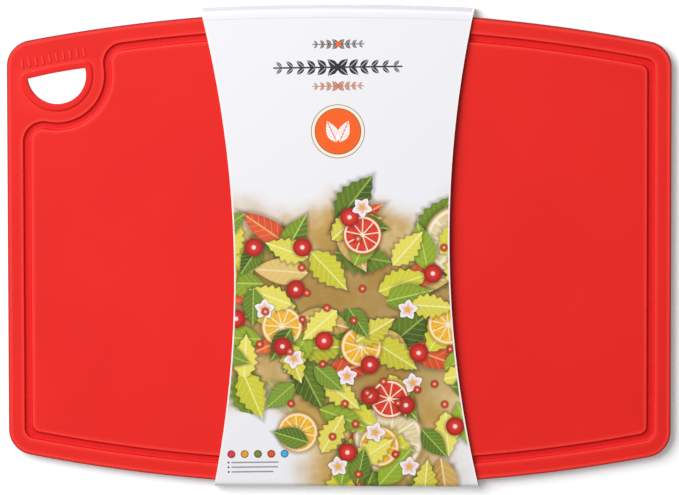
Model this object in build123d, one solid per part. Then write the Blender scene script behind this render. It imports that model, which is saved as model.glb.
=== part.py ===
from build123d import *
import math
import os

# A moulded silicone cutting mat with a printed card sleeve round its middle.
# The mat lies flat, +Z up. X runs along its long side and Y across it.
# The origin is on the surface it lies on, under the middle of the mat.
# All lengths are in millimetres and all angles in degrees.

# Mat outline and edges
mat_length = 370.0
mat_width = 265.0
mat_thickness = 5.0
long_side_radius = 920.0
mat_corner_radius = 14.5
top_edge_rounding = 0.8
underside_edge_rounding = 0.5

# Juice groove, with its detour round the hand hole
groove_side_border = 9.0
groove_arch_border = 9.25
groove_width = 4.4
groove_depth = 1.5
groove_outer_corner_radius = 5.9
groove_inner_corner_radius = 4.5
groove_floor_rounding = 1.2
groove_lip_rounding = 0.4
detour_radius = 26.8
detour_groove_width = 4.3
detour_outer_blend_radius = 11.5
detour_inner_blend_radius = 7.0

# Half-moon hand hole, its place counted from the mat's left side and upper crest
hole_from_side = 27.7
hole_from_crest = 35.3
hole_radius = 16.5
hole_crown_height = 1.2
hole_crown_radius = 265.0
hole_corner_radius = 0.6
hole_tilt = 10.8
hole_mouth_rounding = 0.4

# Raised rim round the hole
rim_width = 4.2
rim_height = 0.6
rim_rounding = 0.5

# Row of raised thumb ribs above the rim
rib_count = 10
rib_pitch = 3.9
rib_length = 5.2
rib_width = 1.4
rib_height = 0.4
rib_rounding = 0.3
rib_gap_above_rim = 1.6

# Card sleeve: one die-cut board folded into a loop
board_thickness = 0.4
mat_seat_clearance = 0.1
rim_clearance = 0.8
front_crown_rise = 2.6
top_fold_slack = 4.0
top_fold_radius = 1650.0
bottom_fold_slack = 0.7
top_front_rounding = 4.4
top_back_rounding = 2.4
bottom_front_rounding = 2.6
bottom_back_rounding = 1.2

# Side cuts that give the sleeve its waist
waist_width = 120.1
waist_right_of_middle = 1.8
waist_below_middle = 4.2
side_cut_radius = 603.0
side_cut_skew = 0.9
blank_width = 176.0

# Glued lap on the back of the sleeve
lap_width = 24.0
lap_step_gap = 0.6
lap_step_run = 3.0
glue_width = 16.0
glue_thickness = 0.1
glue_edge_inset = 4.0

# One overrun serves every through cut, and places closer than this are the same
overrun = 12.0
same_place = 0.02

# Levels above the surface the object lies on
lap_floor = board_thickness + glue_thickness
lap_top = lap_floor + board_thickness
mat_underside = lap_top + mat_seat_clearance
mat_top = mat_underside + mat_thickness
rim_top = mat_top + rim_height
band_height = rim_top + rim_clearance + board_thickness

# Plan places
crest = mat_width / 2
hole_x = hole_from_side - mat_length / 2
hole_y = crest - hole_from_crest
band_top = crest + top_fold_slack
band_bottom = -crest - bottom_fold_slack
band_middle = (band_top + band_bottom) / 2
band_half_span = (band_top - band_bottom) / 2
crown_radius = (band_half_span**2 + front_crown_rise**2) / (2 * front_crown_rise)
waist_centre = Vector(waist_right_of_middle, -waist_below_middle)

handle_plane = Plane(
    origin=(hole_x, hole_y, mat_underside),
    x_dir=(math.cos(math.radians(hole_tilt)), math.sin(math.radians(hole_tilt)), 0),
    z_dir=(0, 0, 1),
)
handle_top_plane = handle_plane.offset(mat_thickness)


def arched_field(side_inset, arch_inset):
    """Plan outline with square corners, drawn in from the straight and the arched sides."""
    arc_offset = long_side_radius - crest
    with BuildSketch() as field:
        Rectangle(mat_length - 2 * side_inset, mat_width)
        with Locations((0, -arc_offset)):
            Circle(long_side_radius - arch_inset, mode=Mode.INTERSECT)
        with Locations((0, arc_offset)):
            Circle(long_side_radius - arch_inset, mode=Mode.INTERSECT)
    return field.sketch


def mat_outline():
    """Whole plan outline of the mat, its four corners rounded."""
    field = arched_field(0, 0)
    return fillet(field.vertices(), mat_corner_radius)


def groove_contour(inward, corner_radius, guard_radius, blend_radius):
    """One edge line of the groove: a field that makes way for the hand hole."""
    towards_corner = Rot(0, 0, 135)
    guard = Pos(hole_x, hole_y) * towards_corner * Circle(guard_radius)
    hole_centre = Vector(hole_x, hole_y)

    def on_guard(vertex):
        reach = (Vector(vertex.X, vertex.Y) - hole_centre).length
        return abs(reach - guard_radius) < same_place

    field = arched_field(groove_side_border + inward, groove_arch_border + inward) - guard
    corners = field.vertices().filter_by(lambda vertex: not on_guard(vertex))
    field = fillet(corners, corner_radius)
    return fillet(field.vertices().filter_by(on_guard), blend_radius)


def groove_cutter():
    """Solid of the groove's hollow, with a rounded floor."""
    outer = groove_contour(
        0,
        groove_outer_corner_radius,
        detour_radius,
        detour_outer_blend_radius,
    )
    inner = groove_contour(
        groove_width,
        groove_inner_corner_radius,
        detour_radius + detour_groove_width,
        detour_inner_blend_radius,
    )
    floor_level = mat_top - groove_depth
    hollow = extrude(Pos(0, 0, floor_level) * (outer - inner), groove_depth)
    return fillet(edges_at(hollow, floor_level), groove_floor_rounding)


def half_moon(growth):
    """Half-moon outline in its own tilted frame, the straighter side up, grown all round."""
    crown_centre = hole_crown_height - hole_crown_radius
    crown_side = Pos(0, crown_centre) * Circle(hole_crown_radius + growth)
    round_side = Rot(0, 0, 90) * Circle(hole_radius + growth)
    moon = round_side & crown_side
    return fillet(moon.vertices(), hole_corner_radius + growth)


def edges_at(shape, level):
    """Edges of a shape that lie flat at one level."""
    found = ShapeList()
    for edge in shape.edges():
        box = edge.bounding_box()
        if abs(box.min.Z - level) < same_place and abs(box.max.Z - level) < same_place:
            found.append(edge)
    return found


def cut_with_rounded_mouths(shape, cutter, levels, rounding):
    """Cut a shape, then round the new edges that the cut leaves at some levels."""
    old_middles = [edge.position_at(0.5) for edge in shape.edges()]
    cut = shape - cutter
    mouths = ShapeList()
    for level in levels:
        for edge in edges_at(cut, level):
            middle = edge.position_at(0.5)
            if all((middle - old).length > same_place for old in old_middles):
                mouths.append(edge)
    return fillet(mouths, rounding)


def thumb_ribs():
    """Row of rounded ribs above the rim, each its own small solid."""
    row_height = hole_crown_height + rim_width + rib_gap_above_rim + rib_length / 2
    first = -(rib_count - 1) / 2
    ribs = []
    for number in range(rib_count):
        along = (first + number) * rib_pitch
        outline = Pos(along, row_height) * Rot(0, 0, 90) * SlotOverall(rib_length, rib_width)
        rib = extrude(handle_top_plane * outline, rib_height)
        ribs.append(fillet(edges_at(rib, mat_top + rib_height), rib_rounding))
    return ribs


def silicone_mat():
    """The one-piece moulded mat."""
    slab = extrude(Pos(0, 0, mat_underside) * mat_outline(), mat_thickness)
    slab = fillet(edges_at(slab, mat_top), top_edge_rounding)
    slab = fillet(edges_at(slab, mat_underside), underside_edge_rounding)

    rim = extrude(handle_plane * half_moon(rim_width), mat_thickness + rim_height)
    rim = fillet(edges_at(rim, rim_top), rim_rounding)
    hole_block = extrude(
        handle_plane.offset(-overrun) * half_moon(0),
        mat_thickness + 2 * overrun,
    )
    slab = cut_with_rounded_mouths(
        slab + rim, hole_block, (rim_top, mat_underside), hole_mouth_rounding
    )
    slab = cut_with_rounded_mouths(
        slab, groove_cutter(), (mat_top,), groove_lip_rounding
    )
    for rib in thumb_ribs():
        slab = slab + rib
    return slab


def band_block(inset, width):
    """Closed block between the sleeve's folds, drawn in by an inset on every side but its ends."""
    low = band_bottom + inset
    high = band_top - inset
    tallest = band_height + front_crown_rise
    with BuildSketch(Plane.YZ) as side:
        with Locations(((low + high) / 2, (tallest + inset) / 2)):
            Rectangle(high - low, tallest - inset)
        with Locations((band_middle, band_height + front_crown_rise - crown_radius)):
            Circle(crown_radius - inset, mode=Mode.INTERSECT)
    with BuildSketch() as plan:
        with Locations((waist_centre.X, (low + high) / 2)):
            Rectangle(width, high - low)
        with Locations((waist_centre.X, band_top - top_fold_radius)):
            Circle(top_fold_radius - inset, mode=Mode.INTERSECT)
    along = Pos(waist_centre.X - width / 2, 0, 0) * side.sketch
    block = extrude(along, width) & extrude(plan.sketch, band_height + overrun)
    corners = {
        (True, True): top_front_rounding,
        (True, False): top_back_rounding,
        (False, True): bottom_front_rounding,
        (False, False): bottom_back_rounding,
    }
    for (upper, front), rounding in corners.items():
        fold = ShapeList()
        for edge in block.edges():
            middle = edge.position_at(0.5)
            lengthwise = abs(edge.tangent_at(0.5).X) > math.cos(math.radians(45))
            on_side = (middle.Y > band_middle) == upper
            on_face = (middle.Z > band_height / 2) == front
            if lengthwise and on_side and on_face:
                fold.append(edge)
        block = fillet(fold, rounding - inset)
    return block


def side_cuts(margin):
    """The two large discs that cut the sleeve's waist, drawn in by a margin."""
    reach = waist_width / 2 + side_cut_radius
    across = Vector(
        math.cos(math.radians(side_cut_skew)), math.sin(math.radians(side_cut_skew))
    )
    discs = []
    for side, seam_turn in ((-1, 180), (1, 0)):
        centre = waist_centre + across * (side * reach)
        place = Pos(centre.X, centre.Y, -overrun) * Rot(0, 0, seam_turn)
        disc = place * Circle(side_cut_radius + margin)
        discs.append(extrude(disc, band_height + 2 * overrun))
    return discs


def lap_flap():
    """The inner flap of the lap: it steps up over the outer flap's end."""
    flap_end = -lap_width / 2
    step_top = lap_width / 2 + lap_step_gap
    step_foot = step_top + lap_step_run
    with BuildSketch(Plane.YZ) as section:
        with BuildLine():
            Polyline(
                (flap_end, lap_floor),
                (step_top, lap_floor),
                (step_foot, 0),
                (step_foot, board_thickness),
                (step_top, lap_top),
                (flap_end, lap_top),
                close=True,
            )
        make_face()
    along = Pos(waist_centre.X - blank_width / 2, 0, 0) * section.sketch
    return extrude(along, blank_width)


def card_sleeve():
    """The folded board: front panel, two folds and two back flaps."""
    loop = band_block(0, blank_width) - band_block(board_thickness, blank_width + overrun)
    opening_length = lap_step_gap + lap_step_run
    opening = Pos(waist_centre.X, lap_width / 2 + opening_length / 2, 0) * Box(
        blank_width + overrun, opening_length, 2 * lap_floor
    )
    loop = loop - opening + lap_flap()
    for disc in side_cuts(0):
        loop = loop - disc
    return loop


def seam_glue():
    """The film of glue between the two flaps."""
    film = Pos(waist_centre.X, 0, board_thickness) * Box(
        blank_width,
        glue_width,
        glue_thickness,
        align=(Align.CENTER, Align.CENTER, Align.MIN),
    )
    for disc in side_cuts(glue_edge_inset):
        film = film - disc
    return film


os.makedirs("parts", exist_ok=True)
pieces = {
    "silicone_mat": silicone_mat(),
    "card_sleeve": card_sleeve(),
    "seam_glue": seam_glue(),
}
for name, piece in pieces.items():
    export_step(piece, f"parts/{name}.step")
    size = piece.bounding_box().size
    print(f"{name}: {len(piece.solids())} solid, {size.X:.2f} x {size.Y:.2f} x {size.Z:.2f}")
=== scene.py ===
"""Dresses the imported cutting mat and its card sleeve, and sets a plain studio round them."""

import math

import bmesh
import bpy
from bpy.props import FloatProperty, FloatVectorProperty, IntProperty, PointerProperty
from mathutils import Matrix, Vector


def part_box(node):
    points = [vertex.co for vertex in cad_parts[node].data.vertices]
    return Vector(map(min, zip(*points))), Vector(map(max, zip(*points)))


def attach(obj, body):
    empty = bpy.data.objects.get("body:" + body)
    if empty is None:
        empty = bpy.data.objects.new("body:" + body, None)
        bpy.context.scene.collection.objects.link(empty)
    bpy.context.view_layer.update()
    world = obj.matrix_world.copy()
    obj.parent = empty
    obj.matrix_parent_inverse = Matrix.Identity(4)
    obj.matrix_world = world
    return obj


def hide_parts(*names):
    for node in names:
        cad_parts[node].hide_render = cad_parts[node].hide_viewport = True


bl_info = {
    "name": "Flexible cutting mat with card sleeve",
    "version": (1, 0, 0),
    "blender": (4, 5, 0),
    "location": "View3D > Sidebar > Cutting Mat",
    "description": "Moulds the silicone mat, folds and prints its card sleeve, and sets the studio",
    "category": "Object",
}

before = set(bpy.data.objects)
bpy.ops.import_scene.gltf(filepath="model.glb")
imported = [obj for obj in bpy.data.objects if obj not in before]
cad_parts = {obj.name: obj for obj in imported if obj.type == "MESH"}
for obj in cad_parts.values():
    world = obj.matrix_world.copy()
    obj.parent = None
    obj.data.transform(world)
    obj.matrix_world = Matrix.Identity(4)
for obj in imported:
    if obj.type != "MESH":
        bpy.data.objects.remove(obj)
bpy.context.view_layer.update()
MAT_LOW, MAT_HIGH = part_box("silicone_mat")
CARD_LOW, CARD_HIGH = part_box("card_sleeve")
TAU = 2 * math.pi
MILLIMETRE = 0.001


def to_linear(byte):
    """One channel of a screen colour as the linear value that a shader takes."""
    value = byte / 255
    return value / 12.92 if value <= 0.04045 else ((value + 0.055) / 1.055) ** 2.4


def ink(red, green, blue):
    """A screen colour as a linear one."""
    return tuple(to_linear(channel) for channel in (red, green, blue))


def length(name, description, default):
    return FloatProperty(
        name=name, description=description, default=default, unit="LENGTH", precision=5
    )


def angle(name, description, degrees):
    return FloatProperty(
        name=name, description=description, default=math.radians(degrees), subtype="ANGLE"
    )


def count(name, description, default):
    return IntProperty(name=name, description=description, default=default, min=1)


def colour(name, description, default):
    return FloatVectorProperty(
        name=name, description=description, default=default, size=3, min=0, max=1,
        subtype="COLOR",
    )


class MatSizes(bpy.types.PropertyGroup):
    """Sizes and colours of the silicone mat."""

    long_side_radius: length("Long side radius", "Radius of the two arched long sides", 0.920)
    corner_radius: length("Corner radius", "Radius of the mat's four corners", 0.0145)
    top_rounding: length("Top rounding", "Rounding of the upper edge", 0.0008)
    under_rounding: length("Underside rounding", "Rounding of the lower edge", 0.0005)
    thickness: length("Thickness", "Thickness of the mat without its raised rim", 0.005)

    groove_side_border: length("Groove side border", "From a straight side to it", 0.0090)
    groove_arch_border: length("Groove arch border", "From an arched side to it", 0.00925)
    groove_width: length("Groove width", "Width of the juice groove", 0.0044)
    groove_depth: length("Groove depth", "Depth of the juice groove", 0.0015)
    groove_outer_corner: length("Groove outer corner", "Corner radius, outer line", 0.0059)
    groove_inner_corner: length("Groove inner corner", "Corner radius, inner line", 0.0045)
    groove_wall_draft: length("Groove wall draft", "How far each wall leans out", 0.0003)
    groove_lip: length("Groove lip", "Rounding of both lips of the groove", 0.0005)
    groove_floor: length("Groove floor", "Rounding between a wall and the floor", 0.0009)
    detour_radius: length("Detour radius", "Outer line of the groove round the hole", 0.0268)
    detour_width: length("Detour width", "Width of the groove round the hole", 0.0043)
    detour_outer_blend: length("Detour outer blend", "Bend into the detour", 0.0115)
    detour_inner_blend: length("Detour inner blend", "Bend into the detour", 0.007)

    hole_from_side: length("Hole from side", "From the mat's left side to the hole", 0.0277)
    hole_from_crest: length("Hole from crest", "From the upper crest to the hole", 0.0353)
    hole_radius: length("Hole radius", "Radius of the half-moon's round side", 0.0165)
    hole_crown_height: length("Hole crown height", "From the middle to the flat side", 0.0012)
    hole_crown_radius: length("Hole crown radius", "Radius of the flatter side", 0.265)
    hole_corner: length("Hole corner", "Corner radius of the half-moon", 0.0006)
    hole_mouth: length("Hole mouth", "Rounding of the hole's two mouths", 0.0004)
    hole_tilt: angle("Hole tilt", "Turn of the half-moon about its middle", 10.8)
    rim_width: length("Rim width", "Width of the raised rim round the hole", 0.0042)
    rim_height: length("Rim height", "Height of the raised rim", 0.0006)
    rim_rounding: length("Rim rounding", "Rounding of the rim's outer edge", 0.0005)

    rib_count: count("Rib count", "Number of raised thumb ribs", 10)
    rib_pitch: length("Rib pitch", "From one rib to the next", 0.0039)
    rib_length: length("Rib length", "Length of a rib", 0.0052)
    rib_width: length("Rib width", "Width of a rib", 0.0014)
    rib_height: length("Rib height", "Height of a rib", 0.0004)
    rib_gap: length("Rib gap", "From the rim to the ribs", 0.0016)

    flat_margin: length("Flat margin", "Flat strip beside each edge and wall", 0.0029)
    # The paler line along edges and lips is a painted highlight, partly edge rubbing.
    highlight_and_wear_reach: length("Wear reach", "Half width of the paler line along an edge", 0.0007)
    highlight_and_wear_offset: length("Wear offset", "From a wall to the middle of that line", 0.0008)
    body_ink: colour("Silicone", "Colour of the silicone", ink(238, 26, 15))
    # Colour of that painted highlight and edge rubbing along lips and edges.
    edge_highlight_and_wear_ink: colour("Worn edges", "Colour along the lips and edges", ink(255, 66, 54))
    deep_ink: colour("Deep patches", "Colour of the faint darker patches", ink(234, 22, 13))
    # Painted shade: darker red on everything below the face, groove walls and floor, the hole's
    # wall and the outer side.
    below_face_shade_ink: colour("Walls", "Colour below the face", ink(228, 6, 5))
    # Painted shade low on the mat's outer side and on the rib flanks.
    outer_side_shade_ink: colour("Outer side", "Colour low on the mat's outer side", ink(150, 10, 7))


class SleeveSizes(bpy.types.PropertyGroup):
    """Sizes and colours of the card sleeve."""

    board: length("Board thickness", "Thickness of the card", 0.0004)
    lap: length("Lap half width", "From the middle of the lap to either flap's end", 0.012)
    step_gap: length("Step gap", "From the outer flap's end to the step", 0.0006)
    step_run: length("Step run", "Length of the step over the outer flap", 0.003)
    step_bend: length("Step bend", "Rounding of the step's two bends", 0.0012)
    glue_film: length("Glue film", "Thickness of the glue in the lap", 0.0001)
    crown_rise: length("Crown rise", "How far the front panel bows out", 0.0026)
    top_front: length("Top front bend", "Outer radius, front of the top fold", 0.0044)
    top_back: length("Top back bend", "Outer radius, back of the top fold", 0.0024)
    bottom_front: length("Bottom front bend", "Outer radius, front of the bottom fold", 0.0026)
    bottom_back: length("Bottom back bend", "Outer radius, back of the bottom fold", 0.0012)
    fold_radius: length("Top fold radius", "Radius of the arched top fold in plan", 1.650)
    waist_width: length("Waist width", "Width of the front at its narrowest", 0.1201)
    waist_x: length("Waist place, X", "Middle of the waist along the mat", 0.0018)
    waist_y: length("Waist place, Y", "Middle of the waist across the mat", -0.0042)
    side_radius: length("Side cut radius", "Radius of the two side cuts", 0.603)
    skew: angle("Side cut skew", "Turn of the sleeve on the mat", 0.9)

    stock_ink: colour("Card", "Coated white side of the card", ink(243, 242, 246))
    core_ink: colour("Card core", "Cut edge of the card", ink(250, 249, 246))
    # Painted shade: greyer card along the top fold and its crease.
    fold_shade_ink: colour("Fold", "Greyer card along the top fold", ink(214, 213, 219))
    inner_ink: colour("Card inside", "Uncoated inner side of the card", ink(222, 219, 211))
    glue_ink: colour("Glue", "Dried glue film", ink(226, 219, 196))


class PrintInks(bpy.types.PropertyGroup):
    """Inks of the print on the sleeve."""

    ornament_black: colour("Ornament black", "The long garland", ink(40, 38, 40))
    ornament_grey: colour("Ornament grey", "The upper garland", ink(104, 92, 90))
    ornament_brown: colour("Ornament brown", "The lower garland", ink(196, 128, 96))
    rule: colour("Rule grey", "The three ruled lines", ink(151, 146, 145))
    accent: colour("Accent", "Badge and small marks", ink(252, 98, 14))
    badge_rim: colour("Badge rim", "Pale band round the badge", ink(254, 243, 222))
    ring: colour("Badge ring", "Thin ring round the badge", ink(150, 92, 62))
    dot_one: colour("Dot 1", "First colour dot", ink(214, 62, 76))
    dot_two: colour("Dot 2", "Second colour dot", ink(236, 163, 56))
    dot_three: colour("Dot 3", "Third colour dot", ink(128, 138, 48))
    dot_four: colour("Dot 4", "Fourth colour dot", ink(226, 90, 44))
    dot_five: colour("Dot 5", "Fifth colour dot", ink(78, 178, 226))


class StudioSettings(bpy.types.PropertyGroup):
    """Camera, lamps and floor."""

    lens: FloatProperty(name="Lens", description="Focal length in millimetres", default=400.0)
    sensor: FloatProperty(name="Sensor", description="Sensor width in millimetres", default=36.0)
    distance: length("Camera distance", "From the camera to the mat's face", 4.2033)
    aim_x: length("Aim, X", "Where the camera looks", 0.00042)
    aim_y: length("Aim, Y", "Where the camera looks", 0.00106)
    yaw: angle("Camera yaw", "Lean to the right of straight above", 2.520)
    pitch: angle("Camera pitch", "Lean towards the hand hole's side", -5.880)
    roll: angle("Camera roll", "Turn about the line of sight", 0.171)
    key_watts: FloatProperty(name="Key lamp", description="Power in watts", default=93.0)
    key_way: FloatVectorProperty(
        name="Key lamp way", description="From the mat to the lamp", default=(-0.72, 0.60, 1.0)
    )
    key_distance: length("Key lamp distance", "From the mat to the lamp", 2.8)
    key_size: length("Key lamp size", "Side of the square key lamp", 2.3)
    world_light: FloatProperty(name="World light", description="Fill light", default=0.26)
    floor_ink: colour("Floor", "Colour of the floor", (1.0, 1.0, 1.0))
    floor_lift: FloatProperty(name="Floor lift", description="Light the camera sees", default=0.17)
    hole_lift: FloatProperty(name="Hole lift", description="The same in the hole", default=0.95)


class Wire:
    """A shader socket that Python's operators turn into nodes."""

    def __init__(self, desk, socket):
        self.desk = desk
        self.socket = socket

    @property
    def is_vector(self):
        return self.socket.type in {"VECTOR", "RGBA"}

    def join(self, operation, *values):
        """One Math node, or a Vector Math node if anything joined is a vector."""
        vectors = any(isinstance(v, tuple) or getattr(v, "is_vector", False) for v in values)
        kind = "ShaderNodeVectorMath" if vectors else "ShaderNodeMath"
        return self.desk.node(kind, {"operation": operation}, *values)

    def __add__(self, other):
        return self.join("ADD", self, other)

    def __radd__(self, other):
        return self.join("ADD", other, self)

    def __sub__(self, other):
        return self.join("SUBTRACT", self, other)

    def __rsub__(self, other):
        return self.join("SUBTRACT", other, self)

    def __mul__(self, other):
        if self.is_vector and not isinstance(other, tuple):
            if not getattr(other, "is_vector", False):
                return self.join("SCALE", self, other)
        return self.join("MULTIPLY", self, other)

    def __rmul__(self, other):
        return self * other

    def __truediv__(self, other):
        return self.join("DIVIDE", self, other)

    def __rtruediv__(self, other):
        return self.join("DIVIDE", other, self)

    def __abs__(self):
        return self.join("ABSOLUTE", self)

    def __mod__(self, other):
        return self.join("FLOORED_MODULO", self, other)

    def sine(self):
        return self.join("SINE", self)

    def least(self, other):
        return self.join("MINIMUM", self, other)

    def most(self, other):
        return self.join("MAXIMUM", self, other)

    def wave(self, reach):
        """A zigzag between 0 and reach."""
        return self.join("PINGPONG", self, reach)

    def rise(self, low, high):
        """0 below low, 1 above high, and a smooth step between them; falls if low is above high."""
        start, end = (0.0, 1.0) if low < high else (1.0, 0.0)
        return self.desk.node(
            "ShaderNodeMapRange", {"interpolation_type": "SMOOTHSTEP"},
            self, min(low, high), max(low, high), start, end,
        )

    def length(self):
        return self.join("LENGTH", self)

    def parts(self):
        """The three numbers of a vector or colour."""
        node = self.desk.node("ShaderNodeSeparateXYZ", {}, self).socket.node
        return [Wire(self.desk, socket) for socket in node.outputs]

    def beside(self, name):
        """Another output of the same node."""
        return Wire(self.desk, self.socket.node.outputs[name])


class Finish:
    """One material, built node by node."""

    def __init__(self, name):
        self.material = bpy.data.materials.new(name)
        self.material.use_nodes = True
        self.tree = self.material.node_tree
        self.tree.nodes.clear()
        self.place = self.node("ShaderNodeTexCoord", {}).beside("Object")

    def node(self, kind, settings, *values, **named):
        """A node with its settings made first, then its open inputs in order, then named ones."""
        made = self.tree.nodes.new(kind)
        for key, value in settings.items():
            setattr(made, key, value)
        pairs = list(zip([socket for socket in made.inputs if socket.enabled], values))
        pairs += [(made.inputs[key.replace("_", " ")], value) for key, value in named.items()]
        for socket, value in pairs:
            if isinstance(value, Wire):
                self.tree.links.new(value.socket, socket)
            elif socket.type == "RGBA":
                socket.default_value = (*value, 1.0)
            elif socket.type == "VECTOR" and isinstance(value, (int, float)):
                socket.default_value = (value, value, value)
            else:
                socket.default_value = value
        shown = [socket for socket in made.outputs if socket.enabled]
        return Wire(self, shown[0]) if shown else made

    def mix(self, factor, first, second):
        """One colour turning into another."""
        return self.node("ShaderNodeMix", {"data_type": "RGBA"}, factor, first, second)

    def noise(self, scale, detail=2.0, place=None, flat=False):
        """Soft noise between 0 and 1."""
        return self.node(
            "ShaderNodeTexNoise", {"noise_dimensions": "2D" if flat else "3D"},
            place or self.place, scale, detail,
        )

    def spin(self, place, turn):
        """A place turned about the Z axis."""
        return self.node(
            "ShaderNodeVectorRotate", {"rotation_type": "Z_AXIS"}, place, (0.0, 0.0, 0.0), turn
        )

    def bump(self, height, strength, distance, normal=None):
        """Fine relief, on top of another where one is given."""
        named = {"Normal": normal} if normal else {}
        return self.node(
            "ShaderNodeBump", {}, Strength=strength, Distance=distance, Height=height, **named
        )

    def close(self, base, roughness, normal=None, **constants):
        """The material's shader and its output."""
        named = {"Base_Color": base, "Roughness": roughness, **constants}
        if normal:
            named["Normal"] = normal
        shader = self.node("ShaderNodeBsdfPrincipled", {}, **named)
        self.node("ShaderNodeOutputMaterial", {}, Surface=shader)
        return self.material


def arc(centre, radius, start, end, steps):
    """Points along an arc, without its last one, which the next stretch begins with."""
    turn = (end - start) / steps
    angles = [start + turn * number for number in range(steps)]
    return [Vector(centre) + Vector((math.cos(a), math.sin(a))) * radius for a in angles]


def stretch(start, end, steps):
    """Points along a straight stretch, without its last one."""
    return [Vector(start).lerp(Vector(end), number / steps) for number in range(steps)]


def heading(vector):
    return math.atan2(vector.y, vector.x)


def crossing(first, first_radius, second, second_radius):
    """Where two circles cross, on the right of the way from the first centre to the second."""
    way = second - first
    along = (first_radius**2 - second_radius**2 + way.length_squared) / (2 * way.length)
    aside = math.sqrt(first_radius**2 - along**2)
    unit = way.normalized()
    return first + unit * along + Vector((unit.y, -unit.x)) * aside


# Steps along each kind of bend of the mat's outlines.
CORNER_STEPS = 20
LONG_STEPS = 72
SIDE_STEPS = 24
GUARD_STEPS = 40
BLEND_STEPS = 14
BEND_STEPS = 8
DOME_STEPS = 4
# Tones of the painted light layer: above 0 a paler painted highlight, partly edge rubbing; below 0
# painted shade.
SIDE_PAINTED_SHADE = 9.0
FLANK_PAINTED_SHADE = 0.5


def hole_place(mat):
    """Middle of the hand hole in plan."""
    return Vector((MAT_LOW.x + mat.hole_from_side, MAT_HIGH.y - mat.hole_from_crest))


def field_outline(mat, side_inset, arch_inset, corner, guard=0.0, blend=0.0):
    """The mat's plan outline drawn in by two insets. A guard makes way for the hand hole."""
    side = MAT_HIGH.x - side_inset
    bow = mat.long_side_radius - MAT_HIGH.y
    reach = mat.long_side_radius - arch_inset
    in_x = side - corner
    in_y = math.sqrt((reach - corner) ** 2 - in_x**2) - bow
    lean = math.atan2(in_y + bow, in_x)
    below, above = Vector((0, -bow)), Vector((0, bow))
    points = stretch((side, -in_y), (side, in_y), SIDE_STEPS)
    points += arc((in_x, in_y), corner, 0, lean, CORNER_STEPS)
    if guard:
        hole = hole_place(mat)
        first = crossing(below, reach - blend, hole, guard + blend)
        drop = math.sqrt((guard + blend) ** 2 - (blend - side - hole.x) ** 2)
        second = Vector((blend - side, hole.y - drop))
        leave = heading(first - below)
        turned = leave + (heading(hole - first) - leave) % TAU
        enter = heading(first - hole)
        quit_guard = enter - (enter - heading(second - hole)) % TAU
        points += arc(below, reach, lean, leave, LONG_STEPS)
        points += arc(first, blend, leave, turned, BLEND_STEPS)
        points += arc(hole, guard, enter, quit_guard, GUARD_STEPS)
        points += arc(second, blend, heading(hole - second), math.pi, BLEND_STEPS)
        points += stretch((-side, second.y), (-side, -in_y), SIDE_STEPS)
    else:
        points += arc(below, reach, lean, math.pi - lean, LONG_STEPS)
        points += arc((-in_x, in_y), corner, math.pi - lean, math.pi, CORNER_STEPS)
        points += stretch((-side, in_y), (-side, -in_y), SIDE_STEPS)
    points += arc((-in_x, -in_y), corner, math.pi, math.pi + lean, CORNER_STEPS)
    points += arc(above, reach, math.pi + lean, TAU - lean, LONG_STEPS)
    points += arc((in_x, -in_y), corner, TAU - lean, TAU, CORNER_STEPS)
    return points


def on_handle(mat, points):
    """Points of the tilted handle's own frame as plan points."""
    tilt = Matrix.Rotation(mat.hole_tilt, 2)
    return [hole_place(mat) + tilt @ point for point in points]


def half_moon(mat, growth):
    """The half-moon hole's outline, grown all round."""
    crown = Vector((0, mat.hole_crown_height - mat.hole_crown_radius))
    inner = mat.hole_radius - mat.hole_corner
    span = mat.hole_crown_radius - mat.hole_corner
    rise = (span**2 - inner**2 - crown.y**2) / (-2 * crown.y)
    out = math.sqrt(inner**2 - rise**2)
    corner = mat.hole_corner + growth
    low = math.atan2(rise, out)
    high = math.atan2(rise - crown.y, out)
    points = arc((out, rise), corner, low, high, BEND_STEPS)
    points += arc(crown, mat.hole_crown_radius + growth, high, math.pi - high, SIDE_STEPS)
    points += arc((-out, rise), corner, math.pi - high, math.pi - low, BEND_STEPS)
    points += arc((0, 0), mat.hole_radius + growth, math.pi - low, TAU + low, GUARD_STEPS)
    return on_handle(mat, points)


def rib_outline(mat, number, growth):
    """One thumb rib's outline, grown all round."""
    along = (number - (mat.rib_count - 1) / 2) * mat.rib_pitch
    row = mat.hole_crown_height + mat.rim_width + mat.rib_gap + mat.rib_length / 2
    half = (mat.rib_length - mat.rib_width) / 2
    radius = mat.rib_width / 2 + growth
    points = arc((along, row + half), radius, 0, math.pi, BEND_STEPS)
    points += arc((along, row - half), radius, math.pi, TAU, BEND_STEPS)
    return on_handle(mat, points)


def rounded(corners, radii, steps=BEND_STEPS):
    """A line through corners, each inner corner rounded to its own radius."""
    line = [Vector(corners[0])]
    for before, here, after, radius in zip(corners, corners[1:], corners[2:], radii):
        here = Vector(here)
        back = (Vector(before) - here).normalized()
        on = (Vector(after) - here).normalized()
        half = back.angle(on) / 2
        centre = here + (back + on).normalized() * (radius / math.sin(half))
        start = here + back * (radius / math.tan(half)) - centre
        turn = math.copysign(math.pi - 2 * half, -back.cross(on))
        for number in range(steps + 1):
            line.append(centre + Matrix.Rotation(turn * number / steps, 2) @ start)
    line.append(Vector(corners[-1]))
    return line


def stations(outline, section, edges=(), reach=1.0):
    """The outline at each point of a section, with its height and its painted highlight tone, paler
    near the given edges.
    """
    made = []
    for spot in section:
        near = min([(spot - Vector(edge)).length for edge in edges], default=math.inf)
        made.append((outline(spot.x), spot.y, math.exp(-((near / reach) ** 2))))
    return made


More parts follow.
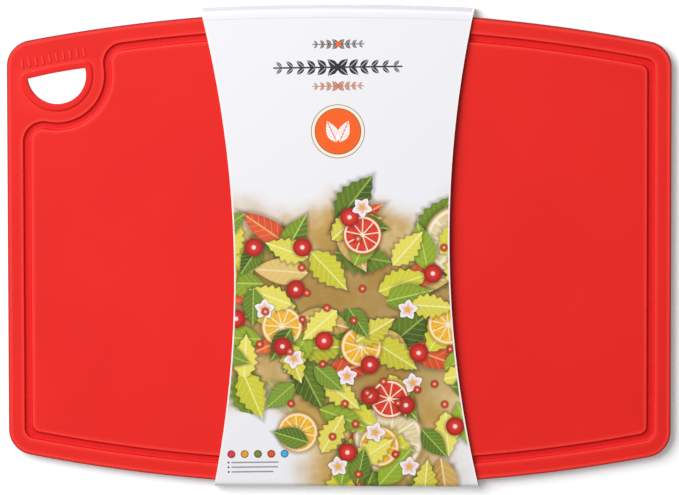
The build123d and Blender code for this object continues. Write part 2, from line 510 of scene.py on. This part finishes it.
def sweep(bm, places):
    """Draws the first outline, then extrudes it from station to station."""
    wear = bm.verts.layers.float["wear"]
    order = bm.verts.layers.int["order"]
    points, height, tone = places[0]
    corners = [bm.verts.new((point.x, point.y, height)) for point in points]
    for number, corner in enumerate(corners):
        corner[order] = number
        corner[wear] = tone
    first = last = [bm.edges.new(pair) for pair in zip(corners, corners[1:] + corners[:1])]
    for points, height, tone in places[1:]:
        made = bmesh.ops.extrude_edge_only(bm, edges=last)["geom"]
        moved = {item for item in made if isinstance(item, bmesh.types.BMVert)}
        for corner in moved:
            corner.co = (*points[corner[order]], height)
            corner[wear] = tone
        for item in made:
            if isinstance(item, bmesh.types.BMFace):
                item.smooth = True
        last = [
            item for item in made
            if isinstance(item, bmesh.types.BMEdge) and moved.issuperset(item.verts)
        ]
    return first, last


def cover(bm, *loops):
    """Fills the flat between loops."""
    edges = [edge for loop in loops for edge in loop]
    bmesh.ops.triangle_fill(bm, use_beauty=True, edges=edges, normal=(0, 0, 1))


def finish_piece(name, bm, finishes, body, stands_for=None):
    """Turns a bmesh into a piece that rides on its body."""
    mesh = bpy.data.meshes.new(name)
    bm.to_mesh(mesh)
    bm.free()
    piece = bpy.data.objects.new(name, mesh)
    bpy.context.scene.collection.objects.link(piece)
    for finish in finishes:
        mesh.materials.append(finish)
    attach(piece, body)
    if stands_for:
        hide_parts(stands_for)
    return piece


def silicone_finish(mat):
    """Satin red silicone: faint cloudy patches, a fine moulded grain, paler lips with painted
    highlight partly from edge rubbing, and painted shade below the face, along the outer side and
    on the rib flanks.
    """
    paint = Finish("red_silicone_moulded")
    painted_tone = paint.node("ShaderNodeAttribute", {"attribute_name": "wear"}).beside("Fac")
    cloud = paint.noise(14.0, 3.0)
    streak = paint.noise(220.0, 2.0)
    base = paint.mix(cloud.rise(0.35, 0.7), mat.body_ink, mat.deep_ink)
    face = MAT_LOW.z + mat.thickness
    height = paint.place.parts()[2]
    # Painted shade on everything below the face: groove walls and floor, the hole's wall and the
    # outer side.
    base = paint.mix(height.rise(face - 0.0001, face - 0.0006), base, mat.below_face_shade_ink)
    # A paler painted highlight, partly edge rubbing, along edges, lips and rib tops, streaked by
    # noise.
    base = paint.mix(painted_tone.most(0.0) * (0.55 + 0.3 * streak), base, mat.edge_highlight_and_wear_ink)
    # Painted shade along the mat's outer side and on the rib flanks, where the tone is below 0.
    base = paint.mix((0.0 - painted_tone).most(0.0), base, mat.outer_side_shade_ink)
    grain = paint.noise(2600.0, 2.0)
    roughness = 0.46 + 0.1 * cloud
    relief = paint.bump(paint.noise(38.0, 1.0), 0.25, 0.0006)
    relief = paint.bump(grain, 0.18, 0.00006, relief)
    return paint.close(base, roughness, relief, Specular_IOR_Level=0.35)


def shape_mat(mat):
    """The whole moulding as one closed skin."""
    bm = bmesh.new()
    bm.verts.layers.float.new("wear")
    bm.verts.layers.int.new("order")
    under = MAT_LOW.z
    top = under + mat.thickness
    rim_top = top + mat.rim_height
    bed = top - mat.groove_depth
    margin = mat.flat_margin
    offset = mat.highlight_and_wear_offset

    def plain(inset):
        return field_outline(mat, inset, inset, mat.corner_radius - inset)

    def outer_line(inward):
        return field_outline(
            mat, mat.groove_side_border + inward, mat.groove_arch_border + inward,
            mat.groove_outer_corner - inward,
            mat.detour_radius + inward, mat.detour_outer_blend - inward,
        )

    def inner_line(outward):
        inward = mat.groove_width - outward
        return field_outline(
            mat, mat.groove_side_border + inward, mat.groove_arch_border + inward,
            mat.groove_inner_corner + outward,
            mat.detour_radius + mat.detour_width - outward,
            mat.detour_inner_blend + outward,
        )

    side = rounded(
        [(margin, under), (0, under), (0, top), (margin, top)],
        [mat.under_rounding, mat.top_rounding],
    )
    # Two more stations on the face carry the painted highlight inside the top edge; below the face
    # the tone falls to painted shade, darkest on the outer side.
    side[-1:-1] = [Vector((mat.top_rounding + offset, top)), Vector((margin - offset / 4, top))]
    outer = []
    painted_tone = [(mat.top_rounding + offset, top)]
    for points, height, tone in stations(plain, side, painted_tone, mat.highlight_and_wear_reach):
        depth = (top - height) / mat.top_rounding
        outer.append((points, height, tone - min(1, max(0, depth * SIDE_PAINTED_SHADE))))
    floor_edge, top_edge = sweep(bm, outer)

    wall = rounded(
        [(-margin, top), (0, top), (mat.groove_wall_draft, bed), (mat.detour_width / 3, bed)],
        [mat.groove_lip, mat.groove_floor],
    )
    # Each lip of the groove gets a paler painted highlight, partly edge rubbing, centred just
    # outside its wall.
    wall[1:1] = [Vector((-offset * 2, top)), Vector((-offset, top))]
    lip = [(-offset, top)]
    outer_lip, inner_lip = sweep(
        bm,
        stations(outer_line, wall, lip, mat.highlight_and_wear_reach)
        + stations(inner_line, wall, lip, mat.highlight_and_wear_reach)[::-1],
    )

    rim_out = mat.rim_width - 2 * mat.rim_rounding
    rim = rounded(
        [
            (mat.rim_width + offset, top), (mat.rim_width, top), (rim_out, rim_top),
            (0, rim_top), (0, under), (margin, under),
        ],
        [mat.rim_rounding / 2, mat.rim_rounding / 2, mat.hole_mouth, mat.hole_mouth],
    )
    # A fainter painted highlight, partly edge rubbing, just outside the rim round the hole.
    painted_tone = [(mat.rim_width + offset / 2, top)]
    rim_foot, hole_foot = sweep(
        bm, stations(lambda growth: half_moon(mat, growth), rim, painted_tone, mat.highlight_and_wear_reach / 2)
    )

    dome = rounded(
        [
            (mat.rib_height / 2, top), (0, top), (-mat.rib_height / 4, top + mat.rib_height),
            (-mat.rib_width / 4, top + mat.rib_height),
        ],
        [mat.rib_height / 3, mat.rib_height / 2],
        DOME_STEPS,
    )
    # A painted highlight along each rib's top.
    painted_tone = [(-mat.rib_height, top + mat.rib_height)]
    rib_feet = []
    for number in range(mat.rib_count):
        rib = []
        for points, height, tone in stations(
            lambda growth: rib_outline(mat, number, growth), dome, painted_tone, mat.highlight_and_wear_reach / 2
        ):
            # Painted shade on the rib's flanks.
            shaded_flank = 0.1 < (height - top) / mat.rib_height < 0.9
            rib.append((points, height, tone - shaded_flank * FLANK_PAINTED_SHADE))
        foot, crown = sweep(bm, rib)
        cover(bm, crown)
        rib_feet.append(foot)

    cover(bm, top_edge, outer_lip, rim_foot, *rib_feet)
    cover(bm, inner_lip)
    cover(bm, floor_edge, hole_foot)
    bmesh.ops.recalc_face_normals(bm, faces=bm.faces)
    bm.verts.layers.int.remove(bm.verts.layers.int["order"])
    return bm


class CUTTINGMAT_OT_mould_mat(bpy.types.Operator):
    """Mould the silicone mat with its groove, hand hole, rim and thumb ribs"""

    bl_idname = "cuttingmat.mould_mat"
    bl_label = "Mould the mat"

    def execute(self, context):
        mat = context.scene.cuttingmat_mat
        finish_piece(
            "moulded_mat", shape_mat(mat), [silicone_finish(mat)], "mat",
            "silicone_mat",
        )
        return {"FINISHED"}


CARD_COLUMNS = 56
ROW_SPACING = 0.0025
# The arch of the top fold starts here across the mat, and is full after this run.
ARCH_START = 0.06
ARCH_RUN = 0.065


def sleeve_rows(card):
    """The board's outer face from end to end, as places across the mat and heights."""
    lap_floor = card.board + card.glue_film
    step_top = card.lap + card.step_gap
    bottom, top = CARD_LOW.y, CARD_HIGH.y
    front = CARD_HIGH.z - card.crown_rise
    middle = (bottom + top) / 2
    half = (top - bottom) / 2
    bow = (half**2 + card.crown_rise**2) / (2 * card.crown_rise)
    line = rounded(
        [
            (-card.lap, lap_floor), (step_top, lap_floor), (step_top + card.step_run, 0),
            (top, 0), (top, front), (bottom, front), (bottom, 0), (card.lap, 0),
        ],
        [
            card.step_bend, card.step_bend, card.top_back, card.top_front,
            card.bottom_front, card.bottom_back,
        ],
    )
    rows = []
    for here, there in zip(line, line[1:]):
        rows += stretch(here, there, max(1, math.ceil((there - here).length / ROW_SPACING)))
    rows.append(line[-1])
    for row in rows:
        lift = math.sqrt(bow**2 - (row.x - middle) ** 2) - bow
        row.y += (lift + card.crown_rise) * (max(row.y, 0) / front) ** 2
    return rows


def crease_place(card):
    """How far along the board the top fold ends and the front panel starts."""
    rows = sleeve_rows(card)
    walked = 0.0
    for here, there in zip(rows, rows[1:]):
        walked += (there - here).length
        on_front = here.x > there.x and there.y > CARD_HIGH.z / 2
        if on_front and CARD_HIGH.y - there.x > card.top_front:
            return walked
    raise RuntimeError("the board has no top fold")


def side_limits(card, across):
    """How far the board reaches each way along the mat at a place across it."""
    skew = Vector((math.cos(card.skew), math.sin(card.skew)))
    waist = Vector((card.waist_x, card.waist_y))
    limits = []
    for side in (-1, 1):
        centre = waist + skew * (side * (card.waist_width / 2 + card.side_radius))
        inward = math.sqrt(card.side_radius**2 - (across - centre.y) ** 2)
        limits.append(centre.x - side * inward)
    return limits


def shape_sleeve(card):
    """The folded board's outer face, a grid bent along the loop and cut to its waist."""
    rows = sleeve_rows(card)
    bm = bmesh.new()
    bmesh.ops.create_grid(bm, x_segments=CARD_COLUMNS, y_segments=len(rows) - 1, size=0.5)
    board = bm.loops.layers.uv.new("Board")
    lengths = [0.0]
    for here, there in zip(rows, rows[1:]):
        lengths.append(lengths[-1] + (there - here).length)
    flat = {}
    for vert in bm.verts:
        part = vert.co.x + 0.5
        number = round((vert.co.y + 0.5) * (len(rows) - 1))
        row = rows[number]
        across, height = row
        for _ in range(3):
            left, right = side_limits(card, across)
            along = left + (right - left) * part
            off = along - card.waist_x
            dip = card.fold_radius - math.sqrt(card.fold_radius**2 - off**2)
            ease = min(1, max(0, (row.x - ARCH_START) / ARCH_RUN))
            across = row.x - dip * ease**2 * (3 - 2 * ease)
        vert.co = (along, across, height)
        flat[vert.index] = (part * 2 - 1, lengths[number])
    for face in bm.faces:
        face.smooth = True
        for corner in face.loops:
            corner[board].uv = flat[corner.vert.index]
    for edge in bm.edges:
        edge.smooth = not edge.is_boundary
    bmesh.ops.reverse_faces(bm, faces=bm.faces)
    return bm


def card_core_finish(card):
    """The cut edge of the board: bright fibres in thin layers."""
    paint = Finish("white_card_cut_edge")
    layers = paint.node("ShaderNodeMapping", {}, paint.place, Scale=(300.0, 300.0, 9000.0))
    fibres = paint.noise(1.0, 3.0, layers)
    base = paint.mix(fibres * 0.25, card.core_ink, card.inner_ink)
    return paint.close(base, 0.8, paint.bump(fibres, 0.3, 0.00003))


def card_inside_finish(card):
    """The uncoated side of the board, with its fibres."""
    paint = Finish("white_card_inside")
    fibres = paint.noise(900.0, 4.0)
    flecks = paint.noise(4200.0, 1.0).rise(0.66, 0.74)
    base = paint.mix(fibres.rise(0.3, 0.75) * 0.3, card.inner_ink, card.core_ink)
    base = paint.mix(flecks * 0.35, base, ink(176, 168, 152))
    return paint.close(base, 0.85 - 0.1 * fibres, paint.bump(fibres, 0.35, 0.00004))


NEXT_TO_NOTHING = 1e-9
INK_EDGE = 0.1
LEAF_SPREAD = 20.0
FRUIT_SPREAD = 30.0
BERRY_SPREAD = 34.0
WHITE = ink(255, 255, 255)
BLACK = ink(0, 0, 0)
LEAF_LAYERS = (
    # pitch, turn, shift, shake, half width, frill, share kept, dark, light, vein
    (39, 14, (3, 8), 0.45, 0.46, 0.09, 1.0, (58, 84, 20), (124, 152, 34), (158, 178, 80)),
    (37, 67, (17, 2), 0.45, 0.40, 0.0, 0.9, (190, 142, 58), (232, 198, 116), (244, 224, 168)),
    (41, 38, (9, 21), 0.40, 0.32, 0.0, 0.7, (200, 40, 22), (238, 104, 52), (248, 168, 110)),
    (35, 51, (11, 19), 0.40, 0.44, 0.11, 0.95, (170, 172, 22), (226, 220, 62), (240, 238, 140)),
    (33, 5, (29, 25), 0.40, 0.42, 0.0, 0.7, (84, 116, 22), (158, 184, 42), (192, 210, 104)),
)
TOP_LEAF_LAYERS = (
    (30, 22, (5, 13), 0.40, 0.42, 0.13, 0.7, (200, 190, 32), (242, 230, 98), (250, 246, 176)),
    (25, 75, (14, 6), 0.40, 0.46, 0.0, 0.5, (44, 72, 18), (128, 160, 44), (176, 198, 96)),
)


class Print(Finish):
    """The printed side of the board. Places are in millimetres from the waist's middle."""

    def __init__(self, card):
        super().__init__("white_card_printed")
        spot = self.node(
            "ShaderNodeMapping", {"vector_type": "TEXTURE"}, self.place,
            (card.waist_x, card.waist_y, 0.0), (0.0, 0.0, card.skew), (MILLIMETRE,) * 3,
        )
        self.x, self.y, self.up = spot.parts()
        self.ground = self.flat = spot * (1.0, 1.0, 0.0)
        self.base = card.stock_ink

    def settle(self):
        """Makes the next layer wait for those before it: the renderer holds few values at once."""
        self.flat = self.ground + self.base * NEXT_TO_NOTHING
        self.x, self.y, _ = self.flat.parts()

    def lay(self, mask, shade):
        """One ink over what is printed so far."""
        self.base = self.mix(mask, self.base, shade)

    def away(self, x, y):
        """Distance from a place."""
        return (self.flat - (x, y, 0.0)).length()

    def within(self, far, reach):
        """1 within a reach and 0 beyond it, with a soft border."""
        return far.rise(reach + INK_EDGE, reach - INK_EDGE)

    def disc(self, x, y, radius, shade):
        self.lay(self.within(self.away(x, y), radius), shade)

    def ring(self, x, y, radius, width, shade):
        self.lay(self.within(abs(self.away(x, y) - radius), width / 2), shade)

    def rule(self, left, right, y, width, shade):
        along = self.within(abs(self.x - (left + right) / 2), (right - left) / 2)
        across = self.within(abs(self.y - y), width / 2)
        self.lay(along * across, shade)

    def blade(self, spot, half_width, frill=0.0):
        """How far inside a leaf a place is, with its way along and across; the leaf is two long."""
        along, across, _ = spot.parts()
        along = along.least(1.5).most(-1.5)
        aside = abs(across)
        swell = (1.0 - along * along) * (1.18 * half_width - 0.4 * half_width * along)
        if frill:
            swell = swell * (1.0 + (along * 21.0).sine() * frill)
        return swell - aside, along, across, aside

    def single_leaf(self, x, y, turn, half_length, half_width, shade, vein):
        """One plain leaf, for an ornament."""
        self.settle()
        spot = self.spin(self.flat - (x, y, 0.0), -math.radians(turn))
        inside, along, _, aside = self.blade(spot * (1 / half_length), half_width)
        self.lay(inside.rise(0.0, 0.04), shade)
        ribs = ((along - aside * 1.1) * 3.2).wave(0.5).rise(0.10, 0.05) * along.rise(-0.8, -0.6)
        lines = aside.rise(0.05, 0.025).most(ribs) * inside.rise(0.06, 0.1)
        self.lay(lines, vein)

    def region(self, spot):
        """How far inside the picture a place is."""
        x, y, _ = spot.parts()
        upper = 32.0 - y + (x * 0.08 + 1.2).sine() * 6.0
        left = (spot - (-71.0, -124.5, 0.0)).length() - 44.0
        right = (spot - (92.0, -118.0, 0.0)).length() - 30.0
        return upper.least(left).least(right)

    def scatter(self, pitch, turn, shift, shake, kept, spread):
        """The nearest item of a shaken grid: the place in it, whether it shows, its chances."""
        self.settle()
        turn = math.radians(turn)
        shift = (*shift, 0.0)
        grid = self.spin(self.flat, turn) + shift
        cell = self.node(
            "ShaderNodeTexVoronoi", {"voronoi_dimensions": "2D"},
            Vector=grid, Scale=1 / pitch, Detail=0.0, Randomness=shake,
        )
        home = cell.beside("Position")
        first, second, third = cell.beside("Color").parts()
        centre = self.spin(home - shift, -turn)
        reach = self.region(centre) - second * spread
        shown = reach.rise(0.0, 0.1) * first.rise(kept, kept - 0.001)
        inside = self.spin((grid - home) * (2 / pitch), third * TAU)
        return inside, shown, (second * 7.3) % 1.0

    def leaves(self, pitch, turn, shift, shake, half_width, frill, kept, dark, light, vein):
        """A layer of scattered leaves with midribs and side veins."""
        spot, shown, chance = self.scatter(pitch, turn, shift, shake, kept, LEAF_SPREAD)
        inside, along, across, aside = self.blade(spot * (1 / 0.86), half_width, frill)
        self.lay(inside.rise(-0.2, 0.02) * shown * 0.45, ink(24, 34, 12))
        shade = self.mix(chance, ink(*dark), ink(*light))
        shade = self.mix(across.rise(-0.06, 0.06) * 0.4, shade, ink(*light))
        shade = self.mix(inside.rise(0.1, 0.0) * 0.35, shade, ink(*dark))
        ribs = ((along - aside * 0.9) * 4.0).wave(0.5).rise(0.09, 0.02) * 0.5
        shade = self.mix(aside.rise(0.04, 0.015).most(ribs), shade, ink(*vein))
        self.lay(inside.rise(0.0, 0.03) * shown, shade)

    def slices(self, pitch, turn, shift, radius, kept, wedges, flesh, deep, peel):
        """A layer of scattered citrus slices."""
        spot, shown, _ = self.scatter(pitch, turn, shift, 0.4, kept, FRUIT_SPREAD)
        away = spot.length() * (0.5 * pitch / radius)
        x, y, _ = spot.parts()
        around = self.node("ShaderNodeMath", {"operation": "ARCTAN2"}, y, x)
        wedge = (around * (wedges / TAU)).wave(0.5) * away
        flesh_mask = wedge.rise(0.02, 0.06) * away.rise(0.08, 0.14) * away.rise(0.86, 0.80)
        grain = self.noise(1.0, 2.0, self.node(
            "ShaderNodeCombineXYZ", {}, around * 9.0, away * 3.0, 0.0
        ))
        self.lay(away.rise(1.18, 0.98) * shown * 0.4, ink(40, 30, 12))
        shade = self.mix(away.rise(0.90, 0.95), ink(252, 240, 206), ink(*peel))
        pulp = self.mix(grain.rise(0.3, 0.7), ink(*deep), ink(*flesh))
        self.lay(away.rise(1.0, 0.97) * shown, self.mix(flesh_mask, shade, pulp))

    def berries(self, pitch, turn, shift, radius, kept, dark, light):
        """A layer of scattered round berries, each with a small glint."""
        spot, shown, chance = self.scatter(pitch, turn, shift, 0.5, kept, BERRY_SPREAD)
        away = spot.length() * (0.5 * pitch / radius)
        self.lay(away.rise(1.35, 0.95) * shown * 0.45, ink(40, 20, 10))
        shade = self.mix(away.rise(0.25, 1.0), ink(*light), ink(*dark))
        shade = self.mix(chance * 0.5, shade, ink(*dark))
        glint = away.rise(0.30, 0.12) * 0.8
        self.lay(away.rise(1.0, 0.93) * shown, self.mix(glint, shade, WHITE))

    def blossoms(self, pitch, turn, shift, radius, kept, petal, deep):
        """A layer of scattered five-petalled blossoms."""
        spot, shown, _ = self.scatter(pitch, turn, shift, 0.5, kept, FRUIT_SPREAD)
        x, y, _ = spot.parts()
        around = self.node("ShaderNodeMath", {"operation": "ARCTAN2"}, y, x)
        lobe = (around * (5 / TAU)).wave(0.5)
        away = spot.length() * (0.5 * pitch / radius) / (0.62 + 0.76 * lobe)
        self.lay(away.rise(1.25, 0.95) * shown * 0.4, ink(30, 40, 16))
        shade = self.mix(away.rise(0.2, 0.9), ink(*deep), ink(*petal))
        shade = self.mix(away.rise(0.34, 0.28), shade, ink(236, 184, 44))
        self.lay(away.rise(1.0, 0.94) * shown, shade)

    def garland(self, x, y, half_length, pitch, shade):
        """A laurel of leaf pairs that runs out both ways from its middle."""
        self.settle()
        out = abs(self.x - x)
        step = out % pitch
        taper = (out - step) * (0.35 / half_length)
        spot = self.node(
            "ShaderNodeCombineXYZ", {},
            step - pitch * 0.5, abs(self.y - y) - pitch * 0.36, 0.0,
        )
        spot = self.spin(spot, -math.radians(42))
        inside, _, _, aside = self.blade(spot * (1 / (0.62 * pitch)), 0.46)
        ends = out.rise(half_length, half_length - INK_EDGE)
        leaf = (inside - taper).rise(0.0, 0.06) * ends
        slit = aside.rise(0.05, 0.02) * inside.rise(0.12, 0.18)
        stem = abs(self.y - y).rise(0.1 * pitch, 0.05 * pitch) * ends
        self.lay((leaf * (1.0 - slit)).most(stem), shade)

    def picture(self):
        """Herbs, citrus, berries and blossoms, thinning out towards the top."""
        deep = self.region(self.flat)
        blur = self.noise(0.035, 3.0, self.flat, flat=True)
        wash = self.mix(blur.rise(0.35, 0.65), ink(232, 206, 148), ink(204, 164, 88))
        wash = self.mix(deep.rise(6.0, 46.0) * 0.7, wash, ink(160, 120, 42))
        self.lay((deep + blur * 24.0).rise(4.0, 30.0), wash)
        for layer in LEAF_LAYERS[:3]:
            self.leaves(*layer)
        self.slices(72, 20, (31, 44), 20.0, 0.8, 8, (240, 226, 184), (224, 200, 146),
                    (196, 160, 104))
        for layer in LEAF_LAYERS[3:]:
            self.leaves(*layer)
        self.slices(44, 31, (20, 11), 11.5, 0.6, 10, (250, 204, 62), (240, 164, 32),
                    (242, 160, 36))
        for layer in TOP_LEAF_LAYERS:
            self.leaves(*layer)
        self.slices(43, 58, (7, 29), 11.0, 0.55, 9, (240, 74, 50), (206, 34, 26),
                    (226, 70, 52))
        self.berries(26, 12, (2, 5), 5.4, 0.5, (168, 18, 14), (236, 58, 38))
        self.blossoms(29, 44, (13, 3), 6.0, 0.5, (252, 244, 242), (236, 176, 186))
        self.berries(13, 63, (6, 1), 2.2, 0.3, (176, 30, 20), (240, 110, 50))


# The print's ornaments, in millimetres from the waist's middle.
GARLANDS = (
    # x, y, half length, leaf pitch, leaf ink, middle radius, middle ink
    (0.1, 119.0, 14.6, 3.65, "ornament_grey", 1.5, "accent"),
    (-0.4, 106.2, 36.0, 6.0, "ornament_black", 2.0, "ornament_black"),
    (-0.4, 95.7, 14.4, 3.6, "ornament_brown", 1.3, "ornament_brown"),
)
BADGE = (-0.9, 70.5)
BADGE_RADIUS = 12.9
BADGE_RIM_RADIUS = 14.8
FIRST_DOT = (-63.7, -109.9)
DOT_PITCH = 7.45
DOT_RADIUS = 2.2
RULE_START = -63.8
RULE_ENDS = (-37.4, -37.8, -40.4)
FIRST_RULE = -114.6
RULE_PITCH = 2.65


def card_front_finish(card, inks):
    """Coated white board with its print, and painted shade along the top fold and its crease."""
    paint = Print(card)
    fine = paint.noise(1500.0, 3.0)
    cloud = paint.noise(9.0, 2.0)
    paint.lay(cloud * 0.12, ink(232, 231, 238))
    paint.picture()
    for x, y, half_length, pitch, leaf, middle, centre in GARLANDS:
        paint.garland(x, y, half_length, pitch, getattr(inks, leaf))
        paint.disc(x, y, middle, getattr(inks, centre))
    accent = inks.accent
    paint.disc(*BADGE, BADGE_RIM_RADIUS, inks.badge_rim)
    paint.disc(*BADGE, BADGE_RADIUS, accent)
    paint.ring(*BADGE, BADGE_RADIUS - 0.2, 0.5, inks.ring)
    paint.ring(*BADGE, BADGE_RIM_RADIUS, 0.4, inks.ring)
    for side in (-1, 1):
        paint.single_leaf(
            BADGE[0] + side * 3.4, BADGE[1], 90 - side * 24, 6.6, 0.42, WHITE, accent
        )
    x, y = FIRST_DOT
    for dot in (inks.dot_one, inks.dot_two, inks.dot_three, inks.dot_four, inks.dot_five):
        paint.disc(x, y, DOT_RADIUS, tuple(dot))
        paint.ring(x, y, DOT_RADIUS - 0.3, 0.7, tuple(channel * 0.5 for channel in dot))
        x += DOT_PITCH
    for number, end in enumerate(RULE_ENDS):
        y = FIRST_RULE - RULE_PITCH * number
        paint.disc(RULE_START - 1.6, y, 0.55, inks.ornament_black)
        paint.rule(RULE_START, end, y, 0.8, inks.rule)
    across, along, _ = paint.node("ShaderNodeUVMap", {"uv_map": "Board"}).parts()
    crease = along - crease_place(card)
    # Painted shade: a faint grey line along the crease, and a grey band round the top fold.
    paint.lay(abs(crease).rise(0.0005, 0.0001) * 0.4, card.fold_shade_ink)
    painted_tone = crease.rise(-0.0040, -0.0058) * crease.rise(-0.0125, -0.0095)
    paint.lay(painted_tone, card.fold_shade_ink)
    paint.lay(abs(across).rise(0.984, 0.990), card.core_ink)
    front = paint.up.rise(3.2, 5.2)
    base = paint.mix(front.most(painted_tone), card.stock_ink, paint.base)
    roughness = 0.4 + 0.08 * fine
    relief = paint.bump(fine, 0.12, 0.00003)
    return paint.close(base, roughness, relief, Specular_IOR_Level=0.45)


class CUTTINGMAT_OT_fold_sleeve(bpy.types.Operator):
    """Fold the printed card sleeve round the mat"""

    bl_idname = "cuttingmat.fold_sleeve"
    bl_label = "Fold the sleeve"

    def execute(self, context):
        card = context.scene.cuttingmat_sleeve
        finishes = [
            card_front_finish(card, context.scene.cuttingmat_inks),
            card_inside_finish(card),
            card_core_finish(card),
        ]
        sleeve = finish_piece(
            "folded_sleeve", shape_sleeve(card), finishes, "sleeve", "card_sleeve"
        )
        wall = sleeve.modifiers.new("board", "SOLIDIFY")
        wall.thickness = card.board
        wall.offset = -1
        wall.use_even_offset = True
        wall.material_offset = 1
        wall.material_offset_rim = 2
        return {"FINISHED"}


class CUTTINGMAT_OT_spread_glue(bpy.types.Operator):
    """Give the glue film in the sleeve's lap its finish"""

    bl_idname = "cuttingmat.spread_glue"
    bl_label = "Finish the glue"

    def execute(self, context):
        paint = Finish("card_glue_dried")
        spread = paint.noise(180.0, 3.0)
        base = paint.mix(
            spread * 0.5, context.scene.cuttingmat_sleeve.glue_ink, ink(206, 192, 158)
        )
        film = paint.close(base, 0.3 + 0.2 * spread, paint.bump(spread, 0.4, 0.00005))
        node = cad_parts["seam_glue"]
        node.data.materials.clear()
        node.data.materials.append(film)
        return {"FINISHED"}


FLOOR_REACH = 4.0


class CUTTINGMAT_OT_set_studio(bpy.types.Operator):
    """Set the floor, the lamps and the camera"""

    bl_idname = "cuttingmat.set_studio"
    bl_label = "Set the studio"

    def execute(self, context):
        scene = context.scene
        studio = scene.cuttingmat_studio
        bm = bmesh.new()
        bmesh.ops.create_grid(bm, x_segments=2, y_segments=2, size=FLOOR_REACH)
        mesh = bpy.data.meshes.new("studio_floor")
        bm.to_mesh(mesh)
        bm.free()
        floor = bpy.data.objects.new("studio_floor", mesh)
        scene.collection.objects.link(floor)
        mat = scene.cuttingmat_mat
        mesh.materials.append(floor_finish(studio, hole_place(mat), mat.hole_radius))

        aim = Vector((studio.aim_x, studio.aim_y, MAT_HIGH.z))
        lamp = bpy.data.lights.new("key_lamp", "AREA")
        lamp.shape = "SQUARE"
        lamp.size = studio.key_size
        lamp.energy = studio.key_watts
        holder = bpy.data.objects.new("key_lamp", lamp)
        way = Vector(studio.key_way)
        holder.location = aim + way.normalized() * studio.key_distance
        holder.rotation_euler = (-way).to_track_quat("-Z", "Y").to_euler()
        holder.visible_camera = False
        scene.collection.objects.link(holder)

        world = bpy.data.worlds.new("studio_light")
        world.use_nodes = True
        world.node_tree.nodes["Background"].inputs["Color"].default_value = (1, 1, 1, 1)
        world.node_tree.nodes["Background"].inputs["Strength"].default_value = studio.world_light
        scene.world = world

        camera = bpy.data.cameras.new("studio_camera")
        camera.lens = studio.lens
        camera.sensor_width = studio.sensor
        camera.clip_end = 50.0
        holder = bpy.data.objects.new("studio_camera", camera)
        turn = (
            Matrix.Rotation(studio.roll, 3, "Z")
            @ Matrix.Rotation(studio.pitch, 3, "X")
            @ Matrix.Rotation(studio.yaw, 3, "Y")
        )
        holder.location = aim + turn @ Vector((0, 0, studio.distance))
        holder.rotation_euler = turn.to_euler()
        scene.collection.objects.link(holder)
        scene.camera = holder
        scene.view_settings.view_transform = "Standard"
        return {"FINISHED"}


def floor_finish(studio, hole, reach):
    """A white floor that keeps the shadow, and shows plain white through the hand hole by a painted
    glow that hides the shadow there.
    """
    paint = Finish("studio_floor_white")
    ray = paint.node("ShaderNodeLightPath", {})
    camera = ray.beside("Is Camera Ray")
    seen = camera.most(ray.beside("Is Glossy Ray")).most(ray.beside("Is Transmission Ray"))
    # Painted light: extra glow seen by the camera round the hand hole, which cancels the shadow
    # there.
    near = (paint.place - (hole.x, hole.y, 0.0)).length().rise(reach * 1.1, reach)
    lift = seen * studio.floor_lift + camera * near * (studio.hole_lift - studio.floor_lift)
    return paint.close(
        studio.floor_ink, 0.9, Specular_IOR_Level=0.1,
        Emission_Color=paint.mix(lift, BLACK, WHITE), Emission_Strength=1.0,
    )


class CUTTINGMAT_PT_panel(bpy.types.Panel):
    """The parts of the mat and its sleeve, in the order they are made"""

    bl_idname = "CUTTINGMAT_PT_panel"
    bl_label = "Cutting mat"
    bl_space_type = "VIEW_3D"
    bl_region_type = "UI"
    bl_category = "Cutting Mat"

    def draw(self, context):
        groups = (
            (context.scene.cuttingmat_mat, ("cuttingmat.mould_mat",)),
            (
                context.scene.cuttingmat_sleeve,
                ("cuttingmat.fold_sleeve", "cuttingmat.spread_glue"),
            ),
            (context.scene.cuttingmat_inks, ()),
            (context.scene.cuttingmat_studio, ("cuttingmat.set_studio",)),
        )
        for settings, steps in groups:
            box = self.layout.box()
            for key in settings.bl_rna.properties.keys():
                if key not in {"rna_type", "name"}:
                    box.prop(settings, key)
            for step in steps:
                box.operator(step)


CLASSES = (
    MatSizes, SleeveSizes, PrintInks, StudioSettings, CUTTINGMAT_OT_mould_mat,
    CUTTINGMAT_OT_fold_sleeve, CUTTINGMAT_OT_spread_glue, CUTTINGMAT_OT_set_studio,
    CUTTINGMAT_PT_panel,
)
GROUPS = {
    "cuttingmat_mat": MatSizes,
    "cuttingmat_sleeve": SleeveSizes,
    "cuttingmat_inks": PrintInks,
    "cuttingmat_studio": StudioSettings,
}


def register():
    for made in CLASSES:
        bpy.utils.register_class(made)
    for name, group in GROUPS.items():
        setattr(bpy.types.Scene, name, PointerProperty(type=group))


def unregister():
    for name in GROUPS:
        delattr(bpy.types.Scene, name)
    for made in reversed(CLASSES):
        bpy.utils.unregister_class(made)


def main():
    register()
    bpy.ops.cuttingmat.mould_mat()
    bpy.ops.cuttingmat.fold_sleeve()
    bpy.ops.cuttingmat.spread_glue()
    bpy.ops.cuttingmat.set_studio()


if __name__ == "__main__":
    main()
